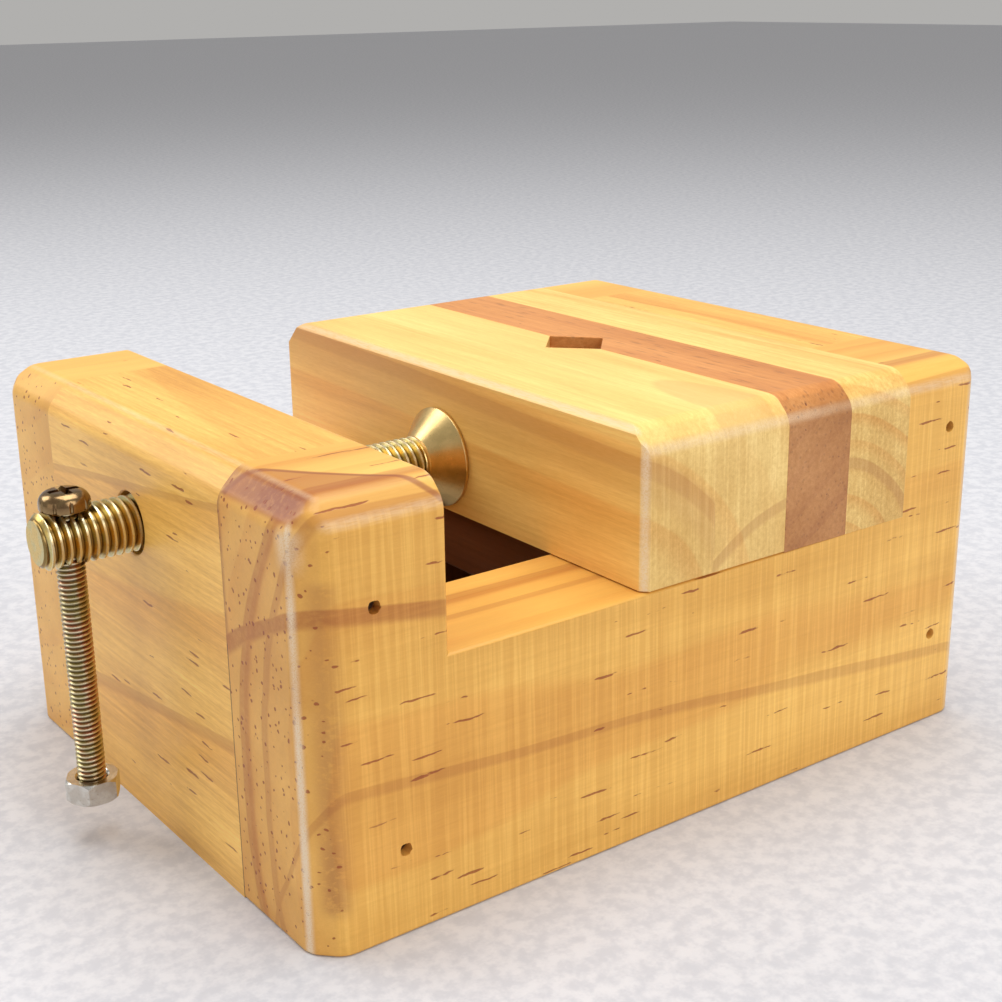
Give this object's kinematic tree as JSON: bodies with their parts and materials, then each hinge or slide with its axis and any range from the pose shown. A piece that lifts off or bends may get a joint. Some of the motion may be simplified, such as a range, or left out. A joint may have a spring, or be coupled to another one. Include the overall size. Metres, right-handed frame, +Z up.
{
  "type": "engraver's bench vise",
  "caption": "Small pine bench vise for carving seals: notched box frame, fixed jaw with a hardwood facing, and a sliding jaw pushed by a hand screw.",
  "frame": {"origin": "centre of the footprint on the table, with the clamp screw included", "axes": "+X from the screw end to the fixed jaw, +Y across the jaws to the left rail, +Z up"},
  "size_m": [0.1356, 0.096, 0.06],
  "materials": {
    "pine": "satin varnish",
    "pale_pine": "satin varnish",
    "hardwood": "satin varnish",
    "zinc_yellow": "yellow zinc plating",
    "zinc_silver": "clear zinc plating",
    "iron": "dark"
  },
  "bodies": {
    "frame": {"right_rail": "pine", "left_rail": "pine", "front_block": "pine", "rear_block": "pine", "fixed_facing": "hardwood", "fixed_backing": "pale_pine", "tee_nut": "zinc_silver", "brad_front_upper_right": "iron", "brad_front_lower_right": "iron", "brad_rear_upper_right": "iron", "brad_rear_lower_right": "iron", "brad_front_upper_left": "iron", "brad_front_lower_left": "iron", "brad_rear_upper_left": "iron", "brad_rear_lower_left": "iron"},
    "jaw": {"moving_jaw": "pale_pine", "guide_tongue": "pine", "tongue_screw_right": "zinc_silver", "tongue_screw_left": "zinc_silver"},
    "screw": {"clamp_screw": "zinc_yellow"},
    "bar": {"tommy_bar": "zinc_yellow", "tommy_nut": "zinc_silver"}
  },
  "joints": [
    {"name": "jaw_slide", "type": "slide", "parent": "frame", "child": "jaw", "axis": [1, 0, 0], "range_m": [-0.0255, 0]},
    {"name": "screw_turn", "type": "hinge", "parent": "jaw", "child": "screw", "pos_m": [-0.0022, 0, 0.0456], "axis": [1, 0, 0], "range_deg": [-7344, 0]},
    {"name": "bar_slide", "type": "slide", "parent": "screw", "child": "bar", "axis": [0, 0, 1], "range_m": [0, 0.031]}
  ],
  "couplings": [
    {"joint": "screw_turn", "follows": "jaw_slide", "rad_per_m": 5026.5}
  ]
}
